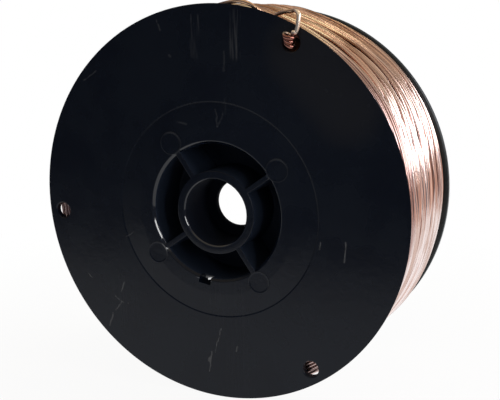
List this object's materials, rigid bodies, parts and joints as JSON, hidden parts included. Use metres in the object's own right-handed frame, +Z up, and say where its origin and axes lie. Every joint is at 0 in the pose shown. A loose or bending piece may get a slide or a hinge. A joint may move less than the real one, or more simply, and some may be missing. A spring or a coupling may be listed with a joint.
{
  "type": "spool of welding wire",
  "caption": "Flanged plastic spool with a recessed ribbed hub, wound full of fine copper-coated steel welding wire whose end is curled into a rim hole.",
  "frame": {"origin": "on the bore axis, midway along the hub tube", "axes": "+Y along the bore from the ribbed front face to the open back, +Z up; the spool stands on the rims of both flanges"},
  "size_m": [0.1, 0.0476, 0.1],
  "materials": {
    "spool_plastic": "black injection-moulded polystyrene, smooth with fine scuffs",
    "coppered_wire": "steel wire with a thin bright copper coating"
  },
  "bodies": {
    "root": {"spool": "spool_plastic", "wire_winding": "coppered_wire", "wire_end": "coppered_wire"}
  },
  "joints": []
}
